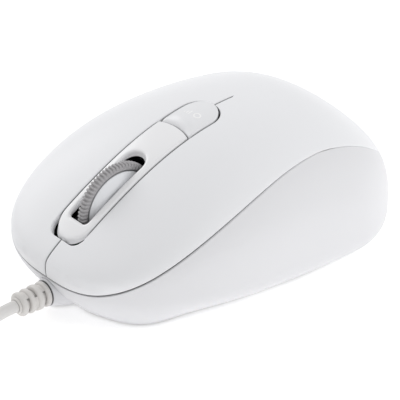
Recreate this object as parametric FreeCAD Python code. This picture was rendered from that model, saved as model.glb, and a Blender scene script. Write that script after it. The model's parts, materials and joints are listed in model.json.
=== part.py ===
"""Wired optical mouse: two main buttons, a pressable scroll wheel and a resolution key.

Frame: the origin is on the table under the middle of the body and +Z is up. The cable leaves
towards -Y, the palm rests towards +Y, and +X is the side of the user's left hand.
All sizes are in millimetres.
"""

import FreeCAD, Part
import functools
import math
import os

Vector = FreeCAD.Vector
X_AXIS = Vector(1, 0, 0)
Y_AXIS = Vector(0, 1, 0)
Z_AXIS = Vector(0, 0, 1)

# ---- body shape ---------------------------------------------------------------------------
HALF_LENGTH = 52.0
HALF_WIDTH = 35.0
WIDEST_Y = 22.3          # where the plan changes from the long front to the round tail
FRONT_POWER = 2.75       # how square the front of the plan is, 2 being an ellipse
TAIL_POWER = 2.0
TAPER = -0.07            # loss of width per half length towards the tail
RIM_FRONT_Z = 11.9       # height of the widest line round the body
RIM_TAIL_Z = 3.6
SIDE_FLARE = 0.76        # how fast the sides pull in below the rim
CORNER = (-42.0, 9.0, 0.4)    # y and spread of the front corners, and how much less they pull in
FRONT_FLARE = 0.42
TAIL_FLARE = 0.31
DOME = 0.48              # how much the skin drops from the middle to the rim
RIM_POWER = 14.0         # sharpness of the shoulder
RIM_ROOT = 3.8
CROWN = (0.5, 39.4, 19.2, 2.25, 12.2, 2.18)    # peak y, peak z, then drop and power each way
SEAM = (11.4, 30.8, 22.0, 1.88, 22.0, 2.34)    # the same for the line where top meets base
SPOKES = 44
RINGS = 30

# ---- shells -------------------------------------------------------------------------------
BASE_Z = 0.5             # underside of the base, above the table by the feet
FLOOR_Z = 2.5
TOP_WALL = 1.8
BASE_WALL = 2.6
LIP_OUTER = 2.3          # the base's lip stands inside the top's wall
LIP_INNER = 3.3
LIP_RISE = 1.4
LIP_ROOT = 3.0
HINGE_Y = 16.0           # where the two buttons flex
HINGE_GAP = 0.1
SPLIT_GAP = 0.2          # half of the groove between the two buttons
SEAM_GAP = 0.1           # half of the seam at the tail
TRAVEL_GAP = 0.2         # what is added to it at the front, so that the buttons can travel

# ---- centre strip -------------------------------------------------------------------------
PANEL_HALF = 5.7
PANEL_FRONT_Y = -46.3
PANEL_REAR_Y = -10.35    # at the corners; between them the end bows out into the key
BOW = 0.9
PANEL_SKIN = -0.2        # the panel stands this much proud of the buttons
LEG_FOOT_Z = 9.0         # the panel's front leg stands on the saddle that holds the cable
KEY_HALF = 5.5
KEY_FRONT_Y = -10.0
KEY_REAR_Y = 2.9
SLOT_HALF = 3.45
SLOT_FRONT_Y = -41.8
SLOT_REAR_Y = -20.4
STRIP_GAP = 0.3

# ---- scroll wheel -------------------------------------------------------------------------
WHEEL_Y = -28.9
WHEEL_Z = 21.2
WHEEL_RADIUS = 11.9
TYRE_WIDTH = 2.4
TYRE_INNER = 10.3
AXLE_RADIUS = 1.5
HEX_FLATS = 2.2
PIVOT_X = -10.0
PIVOT_Z = 14.5
RUNNING = 0.06           # radial clearance of a pin in its bore

# ---- circuit board and what stands on it --------------------------------------------------
BOARD_LOW = 6.2
BOARD_TOP = 7.8
BOARD_HALF = 20.0
BOARD_FRONT_Y = -40.5
BOARD_REAR_Y = 26.0
SWITCH = (5.8, 12.8, 6.5)
SWITCH_Y = -27.0
CLICK_X = 17.3
MIDDLE_X = 10.4
PLUNGER_TOP = 15.1
TOUCH_GAP = 0.05         # between a plunger and what presses it
KEY_STEM_Y = -3.2
TACT_PLUNGER_TOP = 12.3
SENSOR_Y = 12.0

# ---- fastenings ---------------------------------------------------------------------------
CASE_SCREW = (15.0, 34.0)
POST_RADIUS = 2.8        # the posts under the palm cover that take the case screws
BOARD_SCREW = (17.5, 21.0)
BOARD_PEG = (15.5, -37.0)

# ---- cable --------------------------------------------------------------------------------
CORD_RADIUS = 1.6
CORD_LENGTH = 1500.0
EXIT_Z = 4.6
RELIEF_TIP_Y = -61.5
# where each ring of the strain relief starts, its length and its radius
RELIEF_RINGS = ((-52.1, 1.5, 3.4), (-54.4, 1.8, 3.4), (-57.0, 1.5, 3.3), (-59.3, 1.5, 3.2))
# the free stretch, from the tip of the strain relief to the coil
ROUTE = (
    (0.0, RELIEF_TIP_Y, EXIT_Z),
    (0.0, -67.0, EXIT_Z),
    (0.9, -72.9, 3.6),
    (3.0, -78.6, 2.4),
    (5.9, -83.8, 1.7),
    (8.65, -88.56, 1.7),
)
COIL_TURNS_ACROSS = 6
COIL_LAYERS = 2
COIL_OUTER_TURN = 25.6   # radius of the middle of the outermost turn
STUB = 16.0              # how far a straight end runs before it is clear of the ring
STUB_DEPTH = 0.5         # how far inside the outermost turn the straight ends enter the ring
PLUG_WIDTH = 16.0
PLUG_THICK = 8.0
PLUG_LENGTH = 24.0
PLUG_RELIEF = 10.0
USB_WIDTH = 12.0
USB_HEIGHT = 4.5
USB_LENGTH = 12.0
USB_SHEET = 0.3

FAR = 80.0               # larger than anything in the part


# ---- plain solids -------------------------------------------------------------------------
def box(low, high):
    size = Vector(*high) - Vector(*low)
    return Part.makeBox(size.x, size.y, size.z, Vector(*low))


def rod(radius, start, end):
    start, end = Vector(*start), Vector(*end)
    return Part.makeCylinder(radius, start.distanceToPoint(end), start, end - start)


def join(shapes):
    return shapes[0].multiFuse(shapes[1:]).removeSplitter()


def edges_along(shape, axis, keep=lambda centre: True):
    found = []
    for edge in shape.Edges:
        if len(edge.Vertexes) != 2:
            continue
        run = edge.Vertexes[1].Point - edge.Vertexes[0].Point
        if abs(run.normalize().dot(axis)) > 0.999 and keep(edge.CenterOfMass):
            found.append(edge)
    return found


def rounded_box(low, high, radius, axis=Z_AXIS):
    block = box(low, high)
    return block.makeFillet(radius, edges_along(block, axis))


def strip(half, front_y, rear_y, front_radius, rear_radius, low=-FAR, high=FAR):
    """An upright bar across x = 0 with its front and rear corners rounded."""
    block = box((-half, front_y, low), (half, rear_y, high))
    for y, radius in ((front_y, front_radius), (rear_y, rear_radius)):
        corners = edges_along(block, Z_AXIS, lambda centre: abs(centre.y - y) < 0.01)
        block = block.makeFillet(radius, corners)
    return block


def hex_rod(flats, start, end):
    start, end = Vector(*start), Vector(*end)
    radius = flats / math.sqrt(3)
    corners = []
    for i in range(7):
        angle = math.radians(60 * i)
        corners.append(start + Vector(0, radius * math.cos(angle), radius * math.sin(angle)))
    return Part.Face(Part.makePolygon(corners)).extrude(end - start)


# ---- the body's outer surface -------------------------------------------------------------
def arch(y, line):
    """A height that falls away from its peak by its own power law each way."""
    peak_y, peak_z, front_drop, front_power, tail_drop, tail_power = line
    if y < peak_y:
        return peak_z - front_drop * ((peak_y - y) / (peak_y + HALF_LENGTH)) ** front_power
    return peak_z - tail_drop * ((y - peak_y) / (HALF_LENGTH - peak_y)) ** tail_power


def rim_z(y):
    return RIM_FRONT_Z + (RIM_TAIL_Z - RIM_FRONT_Z) * (y + HALF_LENGTH) / (2 * HALF_LENGTH)


def plan(front, inset):
    """The plan's power and reach on its front or tail side."""
    if front:
        return FRONT_POWER, WIDEST_Y + HALF_LENGTH - inset
    return TAIL_POWER, HALF_LENGTH - WIDEST_Y - inset


def half_width(y, inset):
    return (HALF_WIDTH - inset) * (1 + TAPER * (y - WIDEST_Y) / HALF_LENGTH)


def pull_in(y):
    """How much of the flares applies at y; less at the front corners."""
    middle, spread, share = CORNER
    return 1 - share * math.exp(-((y - middle) / spread) ** 2)


def rim_point(angle, inset):
    across, along = math.cos(angle), math.sin(angle)
    power, reach = plan(along < 0, inset)
    y = WIDEST_Y + math.copysign(reach * abs(along) ** (2 / power), along)
    x = math.copysign(half_width(y, inset) * abs(across) ** (2 / power), across)
    return x, y


def skin_z(x, y, inset):
    """Height of the top skin, moved inwards by inset, over the point x, y."""
    power, reach = plan(y < WIDEST_Y, inset)
    wide = abs(x) / half_width(y, inset)
    far = abs(y - WIDEST_Y) / reach
    level = min(max((wide ** power + far ** power) ** (1 / power), 1e-6), 1.0)
    rim = rim_z(WIDEST_Y + (y - WIDEST_Y) / level)
    fall = (1 - DOME * level ** 2) * (1 - level ** RIM_POWER) ** (1 / RIM_ROOT)
    return rim + (arch(y, CROWN) - inset - rim) * fall


def spoke(angle, inset, foot_z):
    """Points down the skin from over the wheel out to the rim and in to the foot."""
    rim_x, rim_y = rim_point(angle, inset)
    points = []
    top_steps, side_steps = 90, 20
    for i in range(top_steps):
        level = 1 - (0.96 * (1 - i / (top_steps - 1))) ** 2
        y = WIDEST_Y + level * (rim_y - WIDEST_Y) + (WHEEL_Y - WIDEST_Y) * (1 - level) ** 1.3
        points.append(Vector(level * rim_x, y, skin_z(level * rim_x, y, inset)))
    rim = rim_z(rim_y)
    points[-1].z = rim
    flare = (FRONT_FLARE if rim_y < WIDEST_Y else TAIL_FLARE) * pull_in(rim_y)
    side_flare = SIDE_FLARE * pull_in(rim_y)
    for i in range(1, side_steps + 1):
        down = i / side_steps
        x = rim_x * (1 - side_flare * rim * down ** 2 / HALF_WIDTH)
        y = WIDEST_Y + (rim_y - WIDEST_Y) * (1 - flare * rim * down ** 2 / HALF_LENGTH)
        points.append(Vector(x, y, rim - down * (rim - foot_z)))
    return points


def evenly(points, count):
    """The same line with its points an equal distance apart."""
    runs = [0.0]
    for start, end in zip(points, points[1:]):
        runs.append(runs[-1] + start.distanceToPoint(end))
    spaced = []
    k = 0
    for i in range(count):
        goal = runs[-1] * i / (count - 1)
        while k < len(runs) - 2 and runs[k + 1] < goal:
            k += 1
        share = min((goal - runs[k]) / (runs[k + 1] - runs[k]), 1.0)
        spaced.append(points[k] + (points[k + 1] - points[k]) * share)
    return spaced


@functools.lru_cache(maxsize=None)
def body(inset, foot_z=FLOOR_Z):
    """The whole body as one solid, with its skin moved inwards by inset."""
    spokes = []
    for i in range(SPOKES):
        angle = 2 * math.pi * i / SPOKES - math.pi / 2
        spokes.append(evenly(spoke(angle, inset, foot_z), RINGS))
    middle_z = sum(line[0].z for line in spokes) / SPOKES
    for line in spokes:
        line[0].z = middle_z
    spokes.append(spokes[0])
    skin = Part.BSplineSurface()
    skin.interpolate([[line[j] for line in spokes] for j in range(RINGS)])
    first, last = skin.bounds()[:2]
    faces = [skin.toShape()]
    for edge in (skin.uIso(first), skin.uIso(last)):
        faces.append(Part.Face(Part.Wire([edge.toShape()])))
    shell = Part.makeShell(faces)
    shell.sewShape(1e-4)
    solid = Part.Solid(shell)
    if solid.Volume < 0:
        solid.reverse()
    return solid


def layer(outer, inner):
    """The part of the body's wall between two insets."""
    return body(outer).cut(body(inner))


def above_seam(offset):
    """Everything above the seam line, which is moved up by offset(y)."""
    points = []
    for i in range(-7, 8):
        y = 8.0 * i
        points.append(Vector(-FAR, y, arch(y, SEAM) + offset(y)))
    curve = Part.BSplineCurve()
    curve.interpolate(points)
    lid = [points[-1], Vector(-FAR, points[-1].y, FAR), Vector(-FAR, points[0].y, FAR), points[0]]
    edges = [curve.toShape()] + Part.makePolygon(lid).Edges
    return Part.Face(Part.Wire(edges)).extrude(Vector(2 * FAR, 0, 0))


def half_gap(y):
    share = min(max((HINGE_Y - y) / (HINGE_Y + HALF_LENGTH), 0.0), 1.0)
    return SEAM_GAP + TRAVEL_GAP * share


# ---- top: two buttons and the palm cover --------------------------------------------------
def top_skin():
    skin = body(0, BASE_Z).common(above_seam(half_gap)).cut(body(TOP_WALL, BASE_Z))
    opening = strip(PANEL_HALF + STRIP_GAP, PANEL_FRONT_Y - 0.4, KEY_REAR_Y + 0.4, 3.0, 5.7)
    return skin.cut(opening)


def main_button(skin, side):
    """One button with the ribbed post that reaches down to its switch."""
    low_x, high_x = sorted((side * SPLIT_GAP, side * FAR))
    tongue = skin.common(box((low_x, -FAR, 0), (high_x, HINGE_Y - HINGE_GAP, FAR)))
    foot = PLUNGER_TOP + TOUCH_GAP
    x = side * CLICK_X
    post = box((x - 1.5, SWITCH_Y - 1.5, foot), (x + 1.5, SWITCH_Y + 1.5, FAR))
    rib_long = box((x - 0.6, SWITCH_Y - 5, foot + 4), (x + 0.6, SWITCH_Y + 5, FAR))
    rib_wide = box((x - 3.8, SWITCH_Y - 0.6, foot + 4), (x + 3.8, SWITCH_Y + 0.6, FAR))
    supports = join([post, rib_long, rib_wide]).common(body(1.0))
    return join([tongue, supports])


def top_cover(skin):
    """The palm cover with its two screw posts and the stakes that hold the centre panel."""
    cover = skin.common(box((-FAR, HINGE_Y + HINGE_GAP, 0), (FAR, FAR, FAR)))
    parts = [cover]
    x, y = CASE_SCREW
    for side in (-1, 1):
        parts.append(rod(POST_RADIUS, (side * x, y, 5.6), (side * x, y, FAR)).common(body(1.0)))
        parts.append(rod(1.2, (side * 5, 20, 32), (side * 5, 20, FAR)).common(body(1.0)))
    cover = join(parts)
    for side in (-1, 1):
        cover = cover.cut(rod(1.15, (side * x, y, 5), (side * x, y, 15)))
    return cover


# ---- centre panel and resolution key ------------------------------------------------------
def bow_cylinder(apex_y):
    """An upright cylinder whose side bows by BOW between x = -PANEL_HALF and PANEL_HALF."""
    radius = (PANEL_HALF ** 2 + BOW ** 2) / (2 * BOW)
    return Part.makeCylinder(radius, 2 * FAR, Vector(0, apex_y - radius, -FAR))


def centre_panel():
    """The strip round the wheel, its front leg, and the tray that passes under the key."""
    outline = strip(PANEL_HALF, PANEL_FRONT_Y, PANEL_REAR_Y + BOW, 5.5, 0.6, LEG_FOOT_Z)
    ahead = box((-FAR, -FAR, -FAR), (FAR, PANEL_REAR_Y - 2, FAR))
    outline = outline.common(ahead.fuse(bow_cylinder(PANEL_REAR_Y + BOW)))
    inside = strip(PANEL_HALF - 1.2, PANEL_FRONT_Y + 1.2, PANEL_REAR_Y - 1.2, 4.0, 0.6)
    plate = outline.common(layer(PANEL_SKIN, 2.2))
    skirt = outline.cut(inside).common(layer(1.0, 3.0))
    leg = box((-5, -46.2, 0), (5, -43.8, FAR)).common(outline).common(body(1.0))
    tray = box((-5.4, -12, 0), (5.4, 9, FAR)).common(layer(4.4, 5.6))
    front_wall = box((-5.4, -12, 0), (5.4, -10.8, FAR)).common(layer(1.0, 5.0))
    rear_wall = box((-5.4, 7.8, 0), (5.4, 9, FAR)).common(layer(2.3, 5.0))
    tail = box((-8, 7.8, 0), (8, 24, FAR)).common(layer(2.3, 3.6))
    pad = box((-8, 17, 0), (8, 24, FAR)).common(layer(TOP_WALL + TOUCH_GAP, 2.5))
    panel = join([plate, skirt, leg, tray, front_wall, rear_wall, tail, pad])
    slot = strip(SLOT_HALF, SLOT_FRONT_Y, SLOT_REAR_Y, 1.2, 3.3)
    stem_hole = box((-2.2, KEY_STEM_Y - 2.2, 0), (2.2, KEY_STEM_Y + 2.2, FAR))
    holes = [slot, stem_hole]
    for side in (-1, 1):
        holes.append(rod(1.3, (side * 5, 20, 0), (side * 5, 20, FAR)))
    return panel.cut(holes)


def dpi_button():
    """The resolution key: a rounded cap on a stem that reaches the switch on the board."""
    outline = strip(KEY_HALF, KEY_FRONT_Y, KEY_REAR_Y, 0.6, 5.3).cut(bow_cylinder(KEY_FRONT_Y + BOW))
    cap = outline.common(layer(0.15, 2.2))
    foot = TACT_PLUNGER_TOP + TOUCH_GAP
    stem = box((-1.8, KEY_STEM_Y - 1.8, foot), (1.8, KEY_STEM_Y + 1.8, FAR)).common(body(1.0))
    return join([cap, stem])


# ---- base ---------------------------------------------------------------------------------
def base_shell():
    """The lower case: floor, side walls, lip, bosses, and the neck the cable comes out of."""
    outer = body(0, BASE_Z)
    walls = outer.cut(above_seam(lambda y: -half_gap(y))).cut(body(BASE_WALL))
    band = above_seam(lambda y: -LIP_ROOT).cut(above_seam(lambda y: LIP_RISE))
    notches = [rod(POST_RADIUS + 0.4, (side * CASE_SCREW[0], CASE_SCREW[1], 0),
                   (side * CASE_SCREW[0], CASE_SCREW[1], FAR)) for side in (-1, 1)]
    lip = layer(LIP_OUTER, LIP_INNER).common(band).cut(notches)
    neck = Part.makeCone(5.5, 3.5, 6.0, Vector(0, -46.0, EXIT_Z), Vector(0, -1, 0))
    neck = neck.common(box((-FAR, -HALF_LENGTH, BASE_Z), (FAR, 0, FAR)))
    cradle = box((-5.2, -46.4, FLOOR_Z - 0.2), (5.2, -43.6, LEG_FOOT_Z))
    parts = [walls, lip, neck, cradle]
    for side in (-1, 1):
        x, y = side * CASE_SCREW[0], CASE_SCREW[1]
        parts.append(rod(3.6, (x, y, FLOOR_Z - 0.2), (x, y, 5.5)))
        x, y = side * BOARD_SCREW[0], BOARD_SCREW[1]
        parts.append(rod(2.4, (x, y, FLOOR_Z - 0.2), (x, y, BOARD_LOW)))
        x, y = side * BOARD_PEG[0], BOARD_PEG[1]
        parts.append(rod(2.0, (x, y, FLOOR_Z - 0.2), (x, y, BOARD_LOW)))
        parts.append(rod(0.9, (x, y, BOARD_LOW - 0.2), (x, y, BOARD_TOP + 0.8)))
    base = join(parts)
    holes = [
        rod(2.6, (0, -FAR, EXIT_Z), (0, -40, EXIT_Z)),
        rod(3.75, (0, -46.4, EXIT_Z), (0, -40, EXIT_Z)),
        box((-3.75, -46.4, EXIT_Z), (3.75, -40, 12)),
        rounded_box((-4.2, SENSOR_Y - 5, 0), (4.2, SENSOR_Y + 5, FLOOR_Z + 1), 1.5),
    ]
    for side in (-1, 1):
        x, y = side * CASE_SCREW[0], CASE_SCREW[1]
        holes.append(rod(1.35, (x, y, 0), (x, y, 6)))
        holes.append(rod(2.8, (x, y, 0), (x, y, 3.3)))
        x, y = side * BOARD_SCREW[0], BOARD_SCREW[1]
        holes.append(rod(1.05, (x, y, FLOOR_Z + 0.2), (x, y, BOARD_LOW + 1)))
    for foot in glide_feet():
        holes.append(foot)
    return base.cut(holes)


def glide_feet():
    front = rounded_box((-12, -43.5, 0), (12, -38.5, 0.8), 2.4)
    rear = rounded_box((-13, 40.0, 0), (13, 45.0, 0.8), 2.4)
    return front, rear


# ---- scroll wheel -------------------------------------------------------------------------
def wheel_hub():
    """Two shallow dished faces on an axle: round in the cradle, six-sided in the encoder."""
    profile = [(0, 0), (0, 3.2), (4.0, 3.2), (7.6, 2.6), (TYRE_INNER, 1.0), (TYRE_INNER, 0)]
    points = [Vector(width, WHEEL_Y + radius, WHEEL_Z) for radius, width in profile]
    points += [Vector(-point.x, point.y, point.z) for point in reversed(points)]
    face = Part.Face(Part.makePolygon(points + points[:1]))
    hub = face.revolve(Vector(0, WHEEL_Y, WHEEL_Z), X_AXIS, 360)
    axle = rod(AXLE_RADIUS, (-8.4, WHEEL_Y, WHEEL_Z), (6.3, WHEEL_Y, WHEEL_Z))
    hexagon = hex_rod(HEX_FLATS, (-11.4, WHEEL_Y, WHEEL_Z), (-8.2, WHEEL_Y, WHEEL_Z))
    return join([hub, axle, hexagon])


def wheel_tyre():
    half = TYRE_WIDTH / 2
    left, right = (-half, WHEEL_Y, WHEEL_Z), (half, WHEEL_Y, WHEEL_Z)
    rim = rod(WHEEL_RADIUS, left, right)
    rim = rim.makeFillet(0.5, [edge for edge in rim.Edges if len(edge.Vertexes) == 1])
    return rim.cut(rod(TYRE_INNER, left, right))


def encoder_rotor():
    rotor = rod(2.2, (-11.6, WHEEL_Y, WHEEL_Z), (-9.6, WHEEL_Y, WHEEL_Z))
    return rotor.cut(hex_rod(HEX_FLATS + 0.1, (-13, WHEEL_Y, WHEEL_Z), (-8, WHEEL_Y, WHEEL_Z)))


def scroll_encoder():
    case = box((-12, WHEEL_Y - 4.2, BOARD_TOP), (-8, WHEEL_Y + 4.2, 24.8))
    case = case.makeChamfer(1.0, edges_along(case, X_AXIS, lambda centre: centre.z > 20))
    chamber = rod(2.8, (-12.5, WHEEL_Y, WHEEL_Z), (-9.0, WHEEL_Y, WHEEL_Z))
    window = rod(2.0, (-9.5, WHEEL_Y, WHEEL_Z), (-7, WHEEL_Y, WHEEL_Z))
    return case.cut([chamber, window])


def wheel_cradle():
    """The frame that carries the wheel's axle and tips about two pins beside the encoder."""
    side_view = [(-38.5, 13.0), (-15.0, 13.0), (-15.0, 23.6), (-32.0, 23.6), (-38.5, 17.0)]
    parts = [box((-6.0, -16.2, 13.0), (6.0, -15.0, 22.0))]
    for x in (-6.0, 4.6):
        outline = Part.makePolygon([Vector(x, y, z) for y, z in side_view + side_view[:1]])
        parts.append(Part.Face(outline).extrude(Vector(1.4, 0, 0)))
    for side in (-1, 1):
        near, far = sorted((WHEEL_Y + side * 5.6, WHEEL_Y + side * 7.2))
        parts.append(box((PIVOT_X - 1.3, near, PIVOT_Z - 1.3), (-5.6, far, PIVOT_Z + 1.3)))
        start, end = WHEEL_Y + side * 6.4, WHEEL_Y + side * 9.6
        parts.append(rod(1.1, (PIVOT_X, start, PIVOT_Z), (PIVOT_X, end, PIVOT_Z)))
    foot = PLUNGER_TOP + TOUCH_GAP
    parts.append(box((5.0, SWITCH_Y - 2.5, foot), (12.0, SWITCH_Y + 2.5, 17.2)))
    parts.append(box((5.0, -19.6, foot), (10.8, -15.2, 17.2)))
    bore = rod(AXLE_RADIUS + RUNNING, (-7, WHEEL_Y, WHEEL_Z), (7, WHEEL_Y, WHEEL_Z))
    return join(parts).cut(bore)


def wheel_bracket():
    """Two posts on the board with the bores for the cradle's pins, joined by a back plate."""
    parts = [box((-13.4, WHEEL_Y - 9.8, BOARD_TOP), (-12.2, WHEEL_Y + 9.8, 12.0))]
    bores = []
    for side in (-1, 1):
        near, far = sorted((WHEEL_Y + side * 7.5, WHEEL_Y + side * 9.8))
        parts.append(box((-13.4, near, BOARD_TOP), (-8.0, far, PIVOT_Z + 2.4)))
        bores.append(rod(1.1 + RUNNING, (PIVOT_X, near - 1, PIVOT_Z), (PIVOT_X, far + 1, PIVOT_Z)))
    return join(parts).cut(bores)


def cradle_spring():
    """A helical spring between the board and the cradle's rear arm."""
    radius, wire, pitch = 1.5, 0.2, 1.3
    low = BOARD_TOP + wire
    height = PLUNGER_TOP + TOUCH_GAP - BOARD_TOP - 2 * wire
    helix = Part.makeHelix(pitch, height, radius)
    path = Part.Wire(helix.Edges)
    circle = Part.makeCircle(wire, Vector(radius, 0, 0), Y_AXIS)
    coil = path.makePipeShell([Part.Wire([circle])], True, True)
    coil.translate(Vector(8.4, -17.4, low))
    return coil


# ---- circuit board ------------------------------------------------------------------------
def switch_pins(x):
    return [(x, SWITCH_Y + offset) for offset in (-5.0, 0.0, 5.0)]


def main_board():
    outline = [
        (-17, BOARD_FRONT_Y), (17, BOARD_FRONT_Y), (BOARD_HALF, -36), (BOARD_HALF, BOARD_REAR_Y),
        (-BOARD_HALF, BOARD_REAR_Y), (-BOARD_HALF, -36),
    ]
    points = [Vector(x, y, BOARD_LOW) for x, y in outline + outline[:1]]
    board = Part.Face(Part.makePolygon(points)).extrude(Vector(0, 0, BOARD_TOP - BOARD_LOW))
    holes = [
        box((-4.2, -FAR, 0), (4.2, -22, FAR)),
        rod(3.0, (0, SENSOR_Y, 0), (0, SENSOR_Y, FAR)),
    ]
    for side in (-1, 1):
        for (x, y), radius in ((BOARD_SCREW, 1.05), (BOARD_PEG, 1.0)):
            holes.append(rod(radius, (side * x, y, 0), (side * x, y, FAR)))
    for switch_x in (-CLICK_X, MIDDLE_X, CLICK_X):
        for x, y in switch_pins(switch_x):
            holes.append(rod(0.5, (x, y, 0), (x, y, FAR)))
    return board.cut(holes)


def microswitch(x):
    """A click switch: its case with three pins, and a window for the plunger."""
    wide, long, tall = SWITCH
    case = box((x - wide / 2, SWITCH_Y - long / 2, BOARD_TOP),
               (x + wide / 2, SWITCH_Y + long / 2, BOARD_TOP + tall))
    case = case.makeFillet(0.3, edges_along(case, Z_AXIS))
    parts = [case]
    for pin_x, pin_y in switch_pins(x):
        parts.append(rod(0.42, (pin_x, pin_y, BOARD_LOW - 1), (pin_x, pin_y, BOARD_TOP + 0.5)))
    window = box((x - 0.65, SWITCH_Y - 1.5, 12.3), (x + 0.65, SWITCH_Y + 1.5, FAR))
    return join(parts).cut(window)


def plunger(x):
    return box((x - 0.6, SWITCH_Y - 1.45, 13.2), (x + 0.6, SWITCH_Y + 1.45, PLUNGER_TOP))


def dpi_switch():
    case = rounded_box((-3, KEY_STEM_Y - 3, BOARD_TOP), (3, KEY_STEM_Y + 3, 11.3), 0.3)
    return case.cut(rod(1.78, (0, KEY_STEM_Y, 9.8), (0, KEY_STEM_Y, FAR)))


def dpi_plunger():
    return rod(1.7, (0, KEY_STEM_Y, 10.4), (0, KEY_STEM_Y, TACT_PLUNGER_TOP))


def chip(centre, size, legs):
    """A flat chip with a row of legs on each long side, all standing on the board."""
    x, y = centre
    wide, long, tall = size
    parts = [box((x - wide / 2, y - long / 2, BOARD_TOP + 0.1),
                 (x + wide / 2, y + long / 2, BOARD_TOP + tall))]
    pitch = long / legs
    for i in range(legs):
        leg_y = y + pitch * (i - (legs - 1) / 2)
        parts.append(box((x - wide / 2 - 1.2, leg_y - 0.25, BOARD_TOP),
                         (x + wide / 2 + 1.2, leg_y + 0.25, BOARD_TOP + 0.4)))
    return join(parts)


def sensor_lens():
    plate = rounded_box((-7, SENSOR_Y - 9, FLOOR_Z), (7, SENSOR_Y + 9, 4.0), 1.5)
    lower = rod(2.6, (0, SENSOR_Y, 1.0), (0, SENSOR_Y, 3.0))
    upper = rod(2.4, (0, SENSOR_Y, 3.5), (0, SENSOR_Y, 6.0))
    return join([plate, lower, upper])


def sensor_lamp():
    bulb = rod(1.5, (0, 21.0, 9.8), (0, 24.5, 9.8))
    tip = Part.makeSphere(1.5, Vector(0, 21.0, 9.8))
    collar = rod(1.9, (0, 24.0, 9.8), (0, 25.0, 9.8))
    return join([bulb, tip, collar])


def lamp_clip():
    clip = rounded_box((-2.8, 21.6, BOARD_TOP), (2.8, 23.8, 12.4), 0.5, Y_AXIS)
    return clip.cut(rod(1.55, (0, 20, 9.8), (0, 26, 9.8)))


def capacitors():
    cans = []
    for y in (2.0, 9.0):
        can = rod(2.0, (12.5, y, BOARD_TOP), (12.5, y, BOARD_TOP + 5.2))
        cans.append(can.makeFillet(0.3, [edge for edge in can.Edges if len(edge.Vertexes) == 1]))
    return Part.makeCompound(cans)


def lead_connector():
    return rounded_box((-4.5, -14.5, 3.0), (4.5, -9.0, BOARD_LOW), 0.4, Y_AXIS)


# ---- screws -------------------------------------------------------------------------------
def pan_screw(x, y, seat_z, up, radius, length, head_radius, head_height):
    """A pan-head screw with a cross recess; up is +1 when its shank points up."""
    shank = rod(radius, (x, y, seat_z), (x, y, seat_z + up * length))
    head = rod(head_radius, (x, y, seat_z), (x, y, seat_z - up * head_height))
    crown_z = seat_z - up * head_height
    crown = edges_on_level(head, crown_z)
    head = head.makeFillet(head_height * 0.4, crown)
    low, high = sorted((crown_z, crown_z + up * head_height * 0.55))
    long, thin = head_radius * 0.6, 0.25
    cross = [box((x - long, y - thin, low), (x + long, y + thin, high)),
             box((x - thin, y - long, low), (x + thin, y + long, high))]
    return join([shank, head]).cut(cross)


def edges_on_level(shape, z):
    return [edge for edge in shape.Edges
            if abs(edge.BoundBox.ZMin - z) < 0.01 and abs(edge.BoundBox.ZMax - z) < 0.01]


def case_screws():
    x, y = CASE_SCREW
    return Part.makeCompound([pan_screw(side * x, y, 3.3, 1, 1.1, 9.0, 2.4, 1.6)
                              for side in (-1, 1)])


def board_screws():
    x, y = BOARD_SCREW
    return Part.makeCompound([pan_screw(side * x, y, BOARD_TOP, -1, 1.0, 4.5, 2.1, 1.3)
                              for side in (-1, 1)])


# ---- cable --------------------------------------------------------------------------------
def strain_relief():
    """A ribbed sleeve: flange behind the wall, neck through it, and rings outside."""
    parts = [rod(3.6, (0, -44.9, EXIT_Z), (0, -46.3, EXIT_Z)),
             rod(2.4, (0, -46.0, EXIT_Z), (0, -52.2, EXIT_Z)),
             Part.makeCone(2.4, 2.1, -RELIEF_TIP_Y - 52.0, Vector(0, -52, EXIT_Z), Vector(0, -1, 0))]
    for start, length, radius in RELIEF_RINGS:
        ring = rod(radius, (0, start, EXIT_Z), (0, start - length, EXIT_Z))
        ring = ring.makeFillet(0.3, [edge for edge in ring.Edges if len(edge.Vertexes) == 1])
        parts.append(ring)
    sleeve = join(parts)
    return sleeve.cut(rod(1.45, (0, -47.0, EXIT_Z), (0, -40, EXIT_Z)))


def inner_lead():
    """The stripped end of the cable, from inside the sleeve to the connector."""
    return rod(1.4, (0, -46.5, EXIT_Z), (0, -14.5, EXIT_Z))


def rounded_path(points):
    """Straight runs joined by tangent arcs, as large as the runs allow; and the radii."""
    points = [Vector(*point) for point in points]
    edges = []
    radii = []
    start = points[0]
    for before, corner, after in zip(points, points[1:], points[2:]):
        back = (before - corner).normalize()
        ahead = (after - corner).normalize()
        turn = math.pi - back.getAngle(ahead)
        shorter = min(before.distanceToPoint(corner), corner.distanceToPoint(after))
        cut = 0.45 * shorter
        radius = cut / math.tan(turn / 2)
        enter = corner + back * cut
        leave = corner + ahead * cut
        bisector = (back + ahead).normalize()
        middle = corner + bisector * (radius / math.cos(turn / 2) - radius)
        edges.append(Part.LineSegment(start, enter).toShape())
        edges.append(Part.Arc(enter, middle, leave).toShape())
        radii.append(radius)
        start = leave
    edges.append(Part.LineSegment(start, points[-1]).toShape())
    return Part.Wire(edges), radii


def usb_cable():
    path, radii = rounded_path(ROUTE)
    start, ahead = Vector(*ROUTE[0]), Vector(*ROUTE[1]) - Vector(*ROUTE[0])
    circle = Part.Wire([Part.makeCircle(CORD_RADIUS, start, ahead)])
    tube = path.makePipeShell([circle], True, False)
    expected = math.pi * CORD_RADIUS ** 2 * path.Length
    print("cable radii", [round(radius, 1) for radius in radii])
    print("cable length", round(path.Length, 2), "volume ratio", round(tube.Volume / expected, 4))
    return tube, path.Length


def coil_centre():
    """The ring's centre, so that the cable's last run meets its outer turn on a tangent."""
    end = Vector(*ROUTE[-1])
    ahead = (end - Vector(*ROUTE[-2])).normalize()
    touch = end + ahead * STUB
    inward = Vector(ahead.y, -ahead.x, 0)
    return touch + inward * (COIL_OUTER_TURN - STUB_DEPTH), touch


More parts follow.
